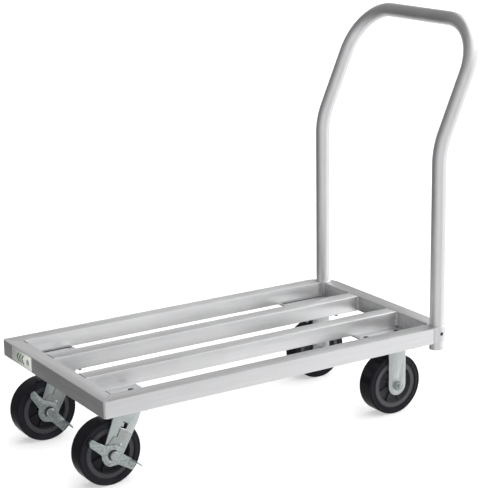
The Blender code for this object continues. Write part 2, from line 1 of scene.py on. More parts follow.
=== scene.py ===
"""The looks of the flatbed platform truck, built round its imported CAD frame.

Metres, +Z up, floor at z = 0. The handle is at the +X end, and the brake levers face -Y.
"""

import math

import bmesh
import bpy
from mathutils import Matrix, Vector


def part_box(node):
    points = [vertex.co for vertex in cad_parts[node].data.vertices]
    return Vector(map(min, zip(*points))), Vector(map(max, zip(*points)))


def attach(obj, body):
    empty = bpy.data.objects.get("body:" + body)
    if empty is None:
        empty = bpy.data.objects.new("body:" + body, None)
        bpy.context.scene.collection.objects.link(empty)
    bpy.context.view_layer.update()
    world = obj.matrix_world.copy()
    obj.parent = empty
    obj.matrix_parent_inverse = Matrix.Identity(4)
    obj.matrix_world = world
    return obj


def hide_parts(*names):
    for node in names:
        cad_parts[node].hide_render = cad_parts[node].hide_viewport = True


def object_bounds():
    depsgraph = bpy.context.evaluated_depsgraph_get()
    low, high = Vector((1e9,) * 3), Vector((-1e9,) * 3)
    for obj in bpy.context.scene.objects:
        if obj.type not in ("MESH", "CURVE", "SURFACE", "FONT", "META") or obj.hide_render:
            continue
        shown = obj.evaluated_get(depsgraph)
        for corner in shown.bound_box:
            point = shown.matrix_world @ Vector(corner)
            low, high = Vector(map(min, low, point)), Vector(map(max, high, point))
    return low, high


SIDES = ((-1, "near"), (1, "far"))

# The camera, and the direction to the right across its picture.
CAMERA_PLACE = Vector((-1.9396, -3.1094, 1.4082))
CAMERA_YAW = math.radians(31.852)
CAMERA_PITCH = math.radians(14.844)
CAMERA_ROLL = math.radians(-0.938)
CAMERA_LENS = 118.10
PICTURE_RIGHT = Vector((math.cos(CAMERA_YAW), -math.sin(CAMERA_YAW), 0))

# Brightness of the studio's walls, of its ceiling and of what lies below them, by degrees round from
# the wall behind the camera, with plus to the picture's right. The tones were tuned until the
# metal's brightness matched the photograph's.
WALL_TONES = ((-180, 0.48), (-163, 0.78), (-146, 0.31), (-116, 0.11), (-88, 0.18), (-55, 0.31), (-5, 0.87),
              (42, 0.44), (78, 0.92), (110, 1.00), (140, 0.62), (165, 0.27), (180, 0.48))
HIGH_TONES = ((-180, 0.25), (-150, 0.22), (-116, 0.16), (-70, 0.30), (-10, 0.45), (40, 0.70), (85, 1.60),
              (125, 2.40), (155, 0.95), (180, 0.25))
LOW_TONES = ((-180, 0.95), (-160, 0.80), (-144, 0.28), (-116, 0.07), (-90, 0.16), (-55, 0.31), (-5, 0.87),
             (42, 0.45), (78, 0.94), (110, 1.02), (148, 0.66), (180, 0.80))

# How steeply a direction rises where one set of tones gives way to the next.
LOW_TO_WALL = (-0.12, 0.08)
WALL_TO_HIGH = (0.30, 0.56)

# The painted floor shadow under the deck, a dim glowing card that the metal reflects: its glow, and how far
# its soft edge reaches inward.
FLOOR_SHADOW_TONE = 0.30
FLOOR_SHADOW_EDGE = 0.12

# A soft key light hangs in one direction, with the angles where it starts and where it is full.
KEY_TOWARD = Vector((0.861, 0.093, 0.50)).normalized()
KEY_TONE = 3.0
KEY_WIDTH = (20, 10)

# Suns: name, strength, whether it casts shadows, tilt and turn in degrees, and how wide it looks.
SUNS = (
    ("overhead", 0.55, True, 8, 10, 80),
    ("fill", 2.25, False, 8, 10, 80),
    ("side", 3.4, False, 90, 0, 4),
)
FLOOR_REACH = 40

# How metallic the tubes are: the rest scatters light, and was tuned to the photograph's brightness.
METAL = 1.0
SLAT_METAL = 0.925
FAR_METAL = 0.89

# Softened edges, welds, the marks beside them, and the painted shade that darkens the upright faces beside
# the rear welds.
TUBE_EDGE = 0.0009
SHEET_EDGE = 0.0006
BEAD_SIZE = 0.0044
REAR_BEAD_SIZE = 0.0070
BEAD_PITCH = 0.0024
SEAM_WIDTH = 0.0016
PAINTED_SHADE_START = 0.005
PAINTED_SHADE_REACH = 0.030
MITRE_WELD = 0.0075
CORNER_MARK = 0.0240
PROUD = 0.00012
PLATE_OVERLAP = 0.0003

# Bolts that hold the casters.
BOLT_SPACING_X = 0.0921
BOLT_SPACING_Y = 0.0667
BOLT_HEAD_RADIUS = 0.0068
BOLT_HEAD_HEIGHT = 0.0023
BOLT_END_Z = 0.1605
BOLT_RADIUS = 0.004
NUT_FLATS = 0.0127
NUT_HEIGHT = 0.0066
WASHER_RADIUS = 0.0078
WASHER_THICK = 0.0013

# Wheels.
WHEEL_SEGMENTS = 96
RIB_COUNT = 8
RIB_THICK = 0.0028
RIM_RADIUS = 0.0584
GROOVE_RADIUS = 0.0672
SHOULDER = 0.0045
RIM_INSET = 0.0016
BOSS_RADIUS = 0.0185

# Brakes: the lever's places are measured from the axle, with the lever free.
FACE_GAP = 0.0003
LEG_OUTER = 0.0314
LEG_LEAN = math.radians(27.5)
AXLE_HEAD_RADIUS = 0.0108
AXLE_HEAD_HEIGHT = 0.0055
HOOK_HEIGHT = 0.0590
HOOK_BEND = 0.0034
HOOK_THICK = 0.0020
LEVER_PRESSED = 15
LEVER_TIP = (0.0559, -0.0269)
LEVER_ARM = (0.0318, -0.0244)
RIDGES = 5
DETAIL_SUNK = 0.0004
LOBE_CENTRE = (-0.0038, 0.0013)
LOBE_RADIUS = 0.0254
# The black disc round each axle head, painted shade in the gap between head and lever.
SHADOW_DISC_CENTRE = (-0.0014, 0.0008)
SHADOW_DISC_RADIUS = 0.0128

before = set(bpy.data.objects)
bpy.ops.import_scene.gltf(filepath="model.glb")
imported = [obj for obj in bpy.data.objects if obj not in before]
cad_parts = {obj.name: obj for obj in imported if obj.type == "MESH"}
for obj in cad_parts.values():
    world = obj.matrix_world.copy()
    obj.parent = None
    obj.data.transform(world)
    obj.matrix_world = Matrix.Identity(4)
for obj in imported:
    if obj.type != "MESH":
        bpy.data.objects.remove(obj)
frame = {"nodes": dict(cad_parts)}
CAD_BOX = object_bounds()


# ---------------------------------------------------------------- materials

class Paint:
    """One procedural material, built round a Principled shader."""

    def __init__(self, name, metallic, roughness, colour):
        self.material = bpy.data.materials.new(name)
        self.material.use_nodes = True
        self.nodes = self.material.node_tree.nodes
        self.links = self.material.node_tree.links
        self.shader = self.nodes["Principled BSDF"]
        self.set("Metallic", metallic)
        self.set("Roughness", roughness)
        self.set("Base Color", (*colour, 1))

    def set(self, socket, value):
        self.shader.inputs[socket].default_value = value

    def node(self, kind, values=None, **settings):
        made = self.nodes.new(kind)
        for key, value in settings.items():
            setattr(made, key, value)
        for key, value in (values or {}).items():
            if isinstance(value, bpy.types.NodeSocket):
                self.links.new(value, made.inputs[key])
            else:
                made.inputs[key].default_value = value
        return made

    def place(self, scale=(1, 1, 1)):
        """The piece's own coordinates in metres, stretched by this scale."""
        spot = self.node("ShaderNodeTexCoord")
        return self.node("ShaderNodeMapping", {"Vector": spot.outputs["Object"], "Scale": scale}).outputs[0]

    def noise(self, scale, detail=3, stretch=(1, 1, 1), rough=0.55):
        values = {"Vector": self.place(stretch), "Scale": scale, "Detail": detail, "Roughness": rough}
        return self.node("ShaderNodeTexNoise", values).outputs["Fac"]

    def remap(self, value, low, high, start=0.3, end=0.7):
        """Turns the middle of a noise's range into low to high."""
        values = {"Value": value, "From Min": start, "From Max": end, "To Min": low, "To Max": high}
        return self.node("ShaderNodeMapRange", values).outputs["Result"]

    def math(self, operation, first, second):
        return self.node("ShaderNodeMath", {0: first, 1: second}, operation=operation).outputs[0]

    def mix(self, share, first, second):
        made = self.node("ShaderNodeMix", {"Factor": share}, data_type="RGBA")
        for socket, colour in ((made.inputs[6], first), (made.inputs[7], second)):
            if isinstance(colour, bpy.types.NodeSocket):
                self.links.new(colour, socket)
            else:
                socket.default_value = (*colour, 1)
        return made.outputs[2]

    def bump(self, height, distance, strength=1.0):
        before = self.shader.inputs["Normal"]
        values = {"Height": height, "Distance": distance, "Strength": strength}
        made = self.node("ShaderNodeBump", values)
        if before.is_linked:
            self.links.new(before.links[0].from_socket, made.inputs["Normal"])
        self.links.new(made.outputs[0], before)

    def painted_shade_near(self, x):
        """How strongly painted shade darkens the upright faces beside an upright weld at X."""
        spot = self.node("ShaderNodeSeparateXYZ", {0: self.place()}).outputs["X"]
        reach = self.math("ABSOLUTE", self.math("SUBTRACT", spot, x), 0.0)
        near = self.remap(reach, 1.0, 0.0, PAINTED_SHADE_START, PAINTED_SHADE_REACH)
        normal = self.node("ShaderNodeNewGeometry").outputs["Normal"]
        facing = self.node("ShaderNodeSeparateXYZ", {0: normal})
        upright = self.math("LESS_THAN", self.math("ABSOLUTE", facing.outputs["Z"], 0.0), 0.5)
        patchy = self.remap(self.noise(130.0, 3, (1, 1, 0.45)), 0.45, 1.0)
        return self.math("MULTIPLY", self.math("MULTIPLY", near, upright), patchy)

    def drive(self, socket, output):
        self.links.new(output, self.shader.inputs[socket])


def brushed(name, grain, colour=(0.92, 0.922, 0.925), rough=(0.34, 0.46), painted_shade_at=(), painted_shade_level=0.42,
            metal=METAL):
    """Mill-finish aluminium with fine lines along one axis, cloudy handling marks and a few scuffs.

    Painted shade darkens its upright faces beside the welds, which stand where X has the painted_shade_at
    values."""
    paint = Paint(name, metal, 0.4, colour)
    lines = paint.noise(1.0, 4, grain, 0.7)
    clouds = paint.noise(9.0, 3)
    scuffs = paint.remap(paint.noise(1.0, 6, tuple(g * 0.22 + 30 for g in grain), 0.8), 0, 1, 0.66, 0.78)
    shade = paint.mix(paint.remap(clouds, 0, 1), tuple(c * 0.93 for c in colour), colour)
    streaks = paint.noise(1.0, 4, tuple(7 if g == min(grain) else 150 for g in grain), 0.6)
    shade = paint.mix(paint.remap(streaks, 0.35, 1, 0.35, 0.65), tuple(c * 0.88 for c in colour), shade)
    shade = paint.mix(paint.math("MULTIPLY", scuffs, 0.40), shade, tuple(c * 0.76 for c in colour))
    # Painted shade on the upright faces beside the welds.
    for x in painted_shade_at:
        shade = paint.mix(paint.painted_shade_near(x), shade, tuple(c * painted_shade_level for c in colour))
    paint.drive("Base Color", shade)
    spread = paint.remap(lines, rough[0], rough[1])
    paint.drive("Roughness", paint.math("ADD", spread, paint.remap(clouds, -0.04, 0.05)))
    paint.bump(lines, 0.00002, 0.55)
    paint.bump(clouds, 0.00025, 0.25)
    return paint.material


def zinc(name, colour, rough=0.3, texture=0.00006, spangle=0.0, streaked=False):
    """Zinc plating on pressed steel: a faint blue-green mottle, a fine orange peel and small dull spots.

    Spangle is how much the plating's small crystals differ, and a streaked sheet has faint lines down it."""
    paint = Paint(name, METAL, rough, colour)
    mottle = paint.noise(46.0, 4)
    spots = paint.remap(paint.noise(420.0, 3), 0, 1, 0.55, 0.72)
    tinted = tuple(c * k for c, k in zip(colour, (0.86, 0.93, 0.92)))
    shade = paint.mix(paint.remap(mottle, 0, 1), colour, tinted)
    if spangle:
        cells = paint.node("ShaderNodeTexVoronoi", {"Vector": paint.place(), "Scale": 330.0})
        level = paint.node("ShaderNodeSeparateColor", {0: cells.outputs["Color"]}).outputs["Red"]
        shade = paint.mix(paint.math("MULTIPLY", level, spangle), shade, tuple(c * 0.35 for c in colour))
    if streaked:
        lines = paint.remap(paint.noise(1.0, 3, (190, 190, 7), 0.5), 0.5, 0.0, 0.38, 0.62)
        shade = paint.mix(lines, shade, tuple(c * 0.74 for c in colour))
    shade = paint.mix(paint.math("MULTIPLY", spots, 0.3), shade, tuple(c * 0.72 for c in colour))
    paint.drive("Base Color", shade)
    paint.drive("Roughness", paint.math("ADD", paint.remap(mottle, rough - 0.05, rough + 0.08),
                                        paint.math("MULTIPLY", spots, 0.12)))
    paint.bump(paint.noise(700.0, 3), texture, 0.6)
    return paint.material


def weld_metal(name):
    """Bright aluminium weld with sooty flecks."""
    paint = Paint(name, 1.0, 0.3, (0.88, 0.88, 0.88))
    grit = paint.noise(650.0, 4)
    shade = paint.mix(paint.remap(grit, 0, 1, 0.35, 0.6), (0.42, 0.42, 0.43), (0.9, 0.9, 0.9))
    paint.drive("Base Color", shade)
    paint.drive("Roughness", paint.remap(grit, 0.22, 0.5))
    paint.bump(grit, 0.0002, 0.6)
    return paint.material


def dark_finish_and_painted_shade(name, colour, rough):
    """Black-oxide steel, the soot at the foot of a weld, and painted shade in dark gaps: dark, dull and
    grainy.
    """
    paint = Paint(name, 0.6, rough, colour)
    grain = paint.noise(500.0, 4)
    paint.drive("Base Color", paint.mix(paint.remap(grain, 0, 1), tuple(c * 0.6 for c in colour), colour))
    paint.drive("Roughness", paint.remap(grain, rough - 0.1, rough + 0.1))
    paint.bump(grain, 0.00006, 0.5)
    return paint.material


def rubber(name):
    """Smooth moulded rubber with a soft gloss, a trace of bloom and fine lay lines."""
    paint = Paint(name, 0.0, 0.36, (0.006, 0.0055, 0.008))
    paint.set("Specular IOR Level", 0.05)
    paint.set("Coat Weight", 0.34)
    paint.set("Coat Roughness", 0.14)
    bloom = paint.noise(34.0, 4)
    shade = paint.mix(paint.remap(bloom, 0, 1), (0.003, 0.0028, 0.0045), (0.006, 0.0056, 0.0080))
    paint.drive("Base Color", shade)
    paint.drive("Roughness", paint.remap(bloom, 0.27, 0.42))
    paint.bump(paint.noise(900.0, 3), 0.00008, 0.35)
    return paint.material


def moulded(name, colour, rough, gloss=0.5):
    """Moulded polyolefin with a fine sparked texture and slight flow marks."""
    paint = Paint(name, 0.0, rough, colour)
    paint.set("Specular IOR Level", gloss)
    flow = paint.noise(60.0, 4)
    paint.drive("Base Color", paint.mix(paint.remap(flow, 0, 1), tuple(c * 0.85 for c in colour), colour))
    paint.drive("Roughness", paint.remap(flow, rough - 0.06, rough + 0.08))
    paint.bump(paint.noise(1400.0, 2), 0.00010, 0.4)
    return paint.material


def film(name, colour, rough):
    """Printed plastic film, slightly uneven."""
    paint = Paint(name, 0.0, rough, colour)
    print_noise = paint.noise(240.0, 3)
    shade = paint.mix(paint.remap(print_noise, 0, 1), tuple(c * 0.9 for c in colour), colour)
    paint.drive("Base Color", shade)
    paint.drive("Roughness", paint.remap(print_noise, rough - 0.05, rough + 0.08))
    paint.bump(paint.noise(90.0, 2), 0.00012, 0.3)
    return paint.material


ALONG = 5
ACROSS = 900
SLAT_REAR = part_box("deck_slat_near")[1].x
RAIL_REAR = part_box("end_rail_rear")[0].x
MATERIALS = {
    "rail_x": brushed("brushed_along_x", (ALONG, ACROSS, ACROSS)),
    # The front end rail is a lighter copy of the side rails' aluminium: painted light.
    "rail_y_painted_light": brushed("brushed_along_y_painted_light", (ACROSS, ALONG, ACROSS), (0.985, 0.985, 0.99)),
    # The rear rail is a darker copy of the end rails' aluminium, darker still on its inner face: painted
    # shade.
    "rear_rail": brushed("brushed_rear_rail", (ACROSS, ALONG, ACROSS), (0.84, 0.84, 0.845),
                         painted_shade_at=(RAIL_REAR,), painted_shade_level=0.70),
    "far_rail": brushed("brushed_far_rail", (ALONG, ACROSS, ACROSS), metal=FAR_METAL),
    # The slats' upright faces darken toward their rear ends: painted shade, where they reflect the dark rear
    # rail.
    "slat": brushed("brushed_slat", (ALONG, ACROSS, ACROSS), painted_shade_at=(SLAT_REAR,), metal=SLAT_METAL),
    "pipe": brushed("drawn_pipe", (260, 260, 14), (0.995, 0.997, 1.0), rough=(0.33, 0.42)),
    "plate": brushed("rolled_plate", (120, 700, 120), (0.88, 0.885, 0.89), (0.38, 0.5)),
    "ground": brushed("ground_weld", (700, 700, 40), (0.89, 0.89, 0.90), (0.36, 0.5)),
    "weld": weld_metal("weld_metal"),
    "fork": zinc("zinc_fork", (0.71, 0.745, 0.735), 0.36, spangle=0.16),
    "straight_fork": zinc("zinc_straight_fork", (0.76, 0.785, 0.78), 0.36, spangle=0.10, streaked=True),
    "lever": zinc("zinc_lever", (0.66, 0.71, 0.70), 0.38, 0.00009, spangle=0.62),
    "leaf": zinc("zinc_leaf", (0.57, 0.585, 0.575), 0.36, spangle=0.26),
    "axle": zinc("zinc_axle", (0.58, 0.59, 0.585), 0.18, 0.00003),
    "bright": zinc("zinc_bright", (0.80, 0.82, 0.81), 0.20, 0.00003),
    "nut": zinc("zinc_nut", (0.42, 0.43, 0.43), 0.35, 0.00003),
    # Black serves black-oxide bolts and screws, and the painted shade round each axle head.
    "black": dark_finish_and_painted_shade("black_oxide_and_painted_shade", (0.050, 0.050, 0.055), 0.45),
    # Soot serves the dark weld lines, and the painted shade along the far plates.
    "soot": dark_finish_and_painted_shade("weld_soot_and_painted_shade", (0.10, 0.10, 0.105), 0.6),
    "rubber": rubber("tyre_rubber"),
    # Rim and core plastics come as a darker copy for the front wheels and a lighter one for the rear:
    # painted shade and painted light on one plastic.
    "rim_front": moulded("rim_front_plastic", (0.018, 0.018, 0.020), 0.42),
    "rim_rear": moulded("rim_rear_plastic", (0.035, 0.035, 0.038), 0.42),
    "core_front": moulded("core_front_plastic", (0.007, 0.007, 0.008), 0.5, 0.2),
    "core_rear": moulded("core_rear_plastic", (0.018, 0.019, 0.021), 0.5, 0.4),
    "label": film("label_film", (0.45, 0.47, 0.43), 0.35),
    "label_mark": film("label_mark", (0.045, 0.085, 0.030), 0.4),
    "label_patch": film("label_patch", (0.30, 0.30, 0.31), 0.4),
}


# ---------------------------------------------------------------- mesh tools

def piece(name, points, faces, material, body, edge=0.0, smooth=32, slot=None, stands_for=()):
    """A mesh piece that rides on a body, with softened edges and its procedural material."""
    mesh = bpy.data.meshes.new(name)
    mesh.from_pydata([tuple(point) for point in points], [], faces)
    work = bmesh.new()
    work.from_mesh(mesh)
    bmesh.ops.remove_doubles(work, verts=work.verts, dist=1e-6)
    bmesh.ops.recalc_face_normals(work, faces=work.faces)
    work.to_mesh(mesh)
    work.free()
    thing = bpy.data.objects.new(name, mesh)
    bpy.context.scene.collection.objects.link(thing)
    dress(thing, material, edge, smooth)
    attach(thing, body)
    if stands_for:
        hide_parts(*stands_for)
    return thing


def dress(thing, material, edge=0.0, smooth=32, weld=False):
    """Material, smooth shading and a softened edge for a new piece or for a CAD node."""
    thing.data.materials.clear()
    thing.data.materials.append(MATERIALS[material])
    if weld:
        thing.modifiers.new("join", "WELD").merge_threshold = 1e-5
    if edge:
        soften = thing.modifiers.new("edge", "BEVEL")
        soften.width = edge
        soften.segments = 2
        soften.limit_method = "ANGLE"
        soften.angle_limit = math.radians(32)
        soften.harden_normals = False
    thing.data.shade_smooth()
    if not weld:
        thing.data.set_sharp_from_angle(angle=math.radians(smooth))


def place(axis, along, a, b):
    """The point at along on an axis, with a and b on the other two."""
    if axis == "X":
        return Vector((along, a, b))
    if axis == "Y":
        return Vector((a, along, b))
    return Vector((a, b, along))


def prism_faces(count):
    """The two ends and the sides between two outlines of this many points."""
    faces = [list(range(count)), list(range(count, 2 * count))]
    faces += [[i, (i + 1) % count, count + (i + 1) % count, count + i] for i in range(count)]
    return faces


def prism(outline, axis, low, high, origin=(0, 0, 0)):
    """Points and faces of an outline pushed along an axis."""
    origin = Vector(origin)
    points = [origin + place(axis, end, a, b) for end in (low, high) for a, b in outline]
    return points, prism_faces(len(outline))


def lathe(profile, axis, origin, segments=WHEEL_SEGMENTS, closed=True):
    """Points and faces of a profile of (radius, along) turned about an axis."""
    origin = Vector(origin)
    points = []
    rings = []
    for radius, along in profile:
        if radius == 0:
            rings.append([len(points)] * segments)
            points.append(origin + place(axis, along, 0, 0))
            continue
        rings.append(list(range(len(points), len(points) + segments)))
        for i in range(segments):
            angle = 2 * math.pi * i / segments
            points.append(origin + place(axis, along, radius * math.cos(angle), radius * math.sin(angle)))
    faces = []
    pairs = list(zip(rings, rings[1:] + rings[:1])) if closed else list(zip(rings, rings[1:]))
    for ring, after in pairs:
        for i in range(segments):
            j = (i + 1) % segments
            corners = []
            for corner in (ring[i], ring[j], after[j], after[i]):
                if corner not in corners:
                    corners.append(corner)
            if len(corners) > 2:
                faces.append(corners)
    return points, faces


def joined(*parts):
    """Several (points, faces) as one."""
    points = []
    faces = []
    for more_points, more_faces in parts:
        start = len(points)
        points += list(more_points)
        faces += [[start + i for i in face] for face in more_faces]
    return points, faces


def arc(centre, radius, start, end, steps):
    """Points round a centre, between two angles in degrees."""
    made = []
    for i in range(steps + 1):
        angle = math.radians(start + (end - start) * i / steps)
        made.append((centre[0] + radius * math.cos(angle), centre[1] + radius * math.sin(angle)))
    return made


def hexagon(flats, turn=0):
    return arc((0, 0), flats / math.sqrt(3), turn, turn + 300, 5)


def box_of(*names):
    """The box round several CAD nodes."""
    boxes = [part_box(name) for name in names]
    low = Vector([min(box[0][i] for box in boxes) for i in range(3)])
    high = Vector([max(box[1][i] for box in boxes) for i in range(3)])
    return low, high


def middle(name):
    low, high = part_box(name)
    return (low + high) / 2


def cut(target, points_faces, name):
    """A Boolean cut with a helper that is then removed."""
    points, faces = points_faces
    mesh = bpy.data.meshes.new(name)
    mesh.from_pydata([tuple(p) for p in points], [], faces)
    tool = bpy.data.objects.new(name, mesh)
    work = bmesh.new()
    work.from_mesh(mesh)
    bmesh.ops.recalc_face_normals(work, faces=work.faces)
    work.to_mesh(mesh)
    work.free()
    bpy.context.scene.collection.objects.link(tool)
    modifier = target.modifiers.new(name, "BOOLEAN")
    modifier.object = tool
    modifier.solver = "EXACT"
    bpy.context.view_layer.update()
    ready = target.evaluated_get(bpy.context.evaluated_depsgraph_get())
    made = bpy.data.meshes.new_from_object(ready)
    target.modifiers.clear()
    target.data = made
    bpy.data.objects.remove(tool)


# ---------------------------------------------------------------- deck

RAIL_LOW, RAIL_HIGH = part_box("end_rail_front")
DECK_TOP = RAIL_HIGH.z
RAIL_BOTTOM = RAIL_LOW.z
FRONT_X = RAIL_LOW.x
FRONT_INNER_X = RAIL_HIGH.x
REAR_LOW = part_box("end_rail_rear")[0]
RAIL = DECK_TOP - RAIL_BOTTOM


def bead(name, start, end, away, size=BEAD_SIZE, body="frame"):
    """A weld bead of overlapping ripples along a line; away points from the corner into the open."""
    start, end, away = Vector(start), Vector(end), Vector(away).normalized()
    along = (end - start).normalized()
    across = along.cross(away)
    length = (end - start).length
    steps = max(8, round(length / BEAD_PITCH * 5))
    around = 12
    points = []
    for i in range(steps + 1):
        travel = length * i / steps
        phase = (travel / BEAD_PITCH) % 1.0
        swell = 0.86 + 0.16 * math.sin(math.pi * phase) ** 0.7
        uneven = 0.07 * math.sin(travel * 611 + start.x * 97)
        swell *= 1 + uneven + 0.05 * math.sin(travel * 1733 + start.y * 51)
        taper = min(1.0, 0.35 + min(travel, length - travel) / (size * 0.9))
        for k in range(around):
            angle = 2 * math.pi * k / around
            radius = size * swell * taper
            lag = BEAD_PITCH * 0.35 * math.cos(angle)
            points.append(start + along * (travel - lag) + away * (radius * math.cos(angle) * 0.85)
                          + across * (radius * math.sin(angle)))
    faces = []
    for i in range(steps):
        for k in range(around):
            n = (k + 1) % around
            a, b = i * around, (i + 1) * around
            faces.append([a + k, a + n, b + n, b + k])
    faces += [list(range(around)), [steps * around + k for k in range(around)]]
    return piece(name, points, faces, "weld", body, smooth=60, slot="aluminium")


def deck():
    nodes = frame["nodes"]
    for side, word in SIDES:
        dress(nodes["side_rail_" + word], "rail_x" if side < 0 else "far_rail", TUBE_EDGE, weld=True)
        dress(nodes["deck_slat_" + word], "slat", TUBE_EDGE, weld=True)
        for end in ("front", "rear"):
            dress(nodes["corner_plate_" + end + "_" + word], "plate", SHEET_EDGE, weld=True)
    dress(nodes["end_rail_front"], "rail_y_painted_light", TUBE_EDGE, weld=True)
    dress(nodes["end_rail_rear"], "rear_rail", TUBE_EDGE, weld=True)


def deck_welds():
    low_z, high_z = RAIL_BOTTOM + 0.0015, DECK_TOP - 0.0020
    for side, word in SIDES:
        low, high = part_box("deck_slat_" + word)
        for end, x, inward in (("front", FRONT_INNER_X, 1), ("rear", REAR_LOW.x, -1)):
            for face, y, out in (("a", low.y, -1), ("b", high.y, 1)):
                name = "slat_bead_" + end + "_" + word + "_" + face
                size = REAR_BEAD_SIZE if end == "rear" else BEAD_SIZE
                bead(name, (x, y, low_z), (x, y, high_z), (inward, out, 0), size)
        rail_low, rail_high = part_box("side_rail_" + word)
        inner = rail_high.y if side < 0 else rail_low.y
        bead("corner_bead_front_" + word, (FRONT_INNER_X, inner, low_z), (FRONT_INNER_X, inner, high_z),
             (1, -side, 0))


def strip(name, low, high, material, body="frame", edge=0.0):
    """A thin flat strip between two corners."""
    outline = [(low[0], low[1]), (high[0], low[1]), (high[0], high[1]), (low[0], high[1])]
    return piece(name, *prism(outline, "Z", low[2], high[2]), material, body, edge, slot="aluminium")


def seams():
    """Lines and fillets where tubes and plates meet, with painted shade along the far plates, and the
    ground-off welds on the front corners.
    """
    for side, word in SIDES:
        low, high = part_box("deck_slat_" + word)
        for end, x, width in (("front", low.x, SEAM_WIDTH), ("rear", high.x, -SEAM_WIDTH * 0.6)):
            span = sorted((x, x + width))
            strip("slat_seam_" + end + "_" + word, (span[0], low.y + 0.003, DECK_TOP - 0.001),
                  (span[1], high.y - 0.003, DECK_TOP + PROUD), "soot")
        outer, inner = side * RAIL_HIGH.y, side * (RAIL_HIGH.y - RAIL)
        line = Vector((RAIL, -side * RAIL, 0)).normalized()
        across = Vector((line.y, -line.x, 0)) * MITRE_WELD / 2
        start = Vector((FRONT_X + 0.003, outer - side * 0.003, 0))
        end = Vector((FRONT_INNER_X - 0.001, inner + side * 0.001, 0))
        outline = [start + across, end + across, end - across, start - across]
        outline = [(point.x, point.y) for point in outline]
        weld = prism(outline, "Z", DECK_TOP - 0.001, DECK_TOP + PROUD)
        piece("mitre_weld_" + word, *weld, "ground", "frame", slot="aluminium")
        reach = sorted((inner - side * 0.0010, inner - side * CORNER_MARK))
        strip("corner_mark_" + word, (FRONT_INNER_X - 0.0028, reach[0], DECK_TOP - 0.001),
              (FRONT_INNER_X - 0.0009, reach[1], DECK_TOP + PROUD), "soot")
        for end_word, name in (("front", "corner_plate_front_"), ("rear", "corner_plate_rear_")):
            plate_low, plate_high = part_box(name + word)
            foot = RAIL_BOTTOM - PLATE_OVERLAP
            reach = sorted((inner, inner - side * 0.0022))
            # On the far side this strip is painted shade, a dark line where plate and rail meet; on the near
            # side it is a ground weld.
            strip("plate_seam_and_shadow_" + end_word + "_" + word, (plate_low.x + 0.004, reach[0], foot),
                  (plate_high.x - 0.003, reach[1], RAIL_BOTTOM + 0.0012), "soot" if side > 0 else "ground")
            outer_face = low.y if side < 0 else high.y
            reach = sorted((outer_face + side * 0.0010, outer_face - side * 0.0006))
            start_x = max(plate_low.x, FRONT_INNER_X) + 0.002
            end_x = min(plate_high.x, REAR_LOW.x) - 0.002
            strip("slat_fillet_" + end_word + "_" + word, (start_x, reach[0], foot),
                  (end_x, reach[1], RAIL_BOTTOM + 0.0014), "slat")


# ---------------------------------------------------------------- handle

def tube(path, radius, segments, inner=None):
    """A round pipe swept along a path, open at both ends when it has an inner radius."""
    frames = []
    side = Vector((1, 0, 0))
    for i, point in enumerate(path):
        tangent = path[min(i + 1, len(path) - 1)] - path[max(i - 1, 0)]
        tangent.normalize()
        side = (side - tangent * side.dot(tangent)).normalized()
        frames.append((point, side.copy(), tangent.cross(side)))
    points = []
    faces = []
    shells = []
    for size in (radius, inner) if inner else (radius,):
        rings = []
        for centre, one, two in frames:
            rings.append(list(range(len(points), len(points) + segments)))
            for i in range(segments):
                angle = 2 * math.pi * i / segments
                points.append(centre + (one * math.cos(angle) + two * math.sin(angle)) * size)
        for ring, after in zip(rings, rings[1:]):
            faces += [[ring[i], ring[(i + 1) % segments], after[(i + 1) % segments], after[i]]
                      for i in range(segments)]
        shells.append(rings)
    if inner:
        for end in (0, -1):
            one, two = shells[0][end], shells[1][end]
            faces += [[one[i], one[(i + 1) % segments], two[(i + 1) % segments], two[i]]
                      for i in range(segments)]
    return points, faces


HANDLE_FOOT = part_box("handle")[0].z
SOCKET_WALL = 0.0026
SOCKET_EDGE = 0.0006
SOCKET_PLAY = 0.00045
SCREW_HOLE_RADIUS = 0.0046
PIPE_WALL = 0.0029
SOCKET_LOW, SOCKET_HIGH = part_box("handle_socket_near")
PIPE_RADIUS = (SOCKET_HIGH.x - SOCKET_LOW.x) / 2 - SOCKET_WALL - SOCKET_PLAY
SOCKET_X = middle("handle_socket_near").x
SOCKET_Y = abs(middle("handle_socket_near").y)
KINK_HEIGHT = 0.6580
KINK_RADIUS = 0.170
HANDLE_TILT = math.radians(24.1)
TILTED_LENGTH = 0.3093
LOOP_RADIUS = 0.1245


def handle_path():
    """Up the near leg, over the kink and the round top, and down the far leg."""
    lead_in = KINK_RADIUS * math.tan(HANDLE_TILT / 2)
    foot = Vector((SOCKET_X, -SOCKET_Y, HANDLE_FOOT))
    half = [foot, foot + Vector((0, 0, 0.2)), foot + Vector((0, 0, 0.4))]
    for i in range(17):
        angle = HANDLE_TILT * i / 16
        half.append(Vector((SOCKET_X + KINK_RADIUS * (1 - math.cos(angle)), -SOCKET_Y,
                            KINK_HEIGHT - lead_in + KINK_RADIUS * math.sin(angle))))
    up = Vector((math.sin(HANDLE_TILT), 0, math.cos(HANDLE_TILT)))
    kink = Vector((SOCKET_X, -SOCKET_Y, KINK_HEIGHT))
    for i in range(33):
        angle = math.pi / 2 * i / 32
        rise = TILTED_LENGTH - LOOP_RADIUS + LOOP_RADIUS * math.sin(angle)
        half.append(kink + up * rise + Vector((0, LOOP_RADIUS * (1 - math.cos(angle)), 0)))
    return half + [Vector((point.x, -point.y, point.z)) for point in reversed(half)]


def handle():
    points, faces = tube(handle_path(), PIPE_RADIUS, 48, PIPE_RADIUS - PIPE_WALL)
    piece("handle_pipe", points, faces, "pipe", "frame", smooth=40, slot="aluminium", stands_for=("handle",))


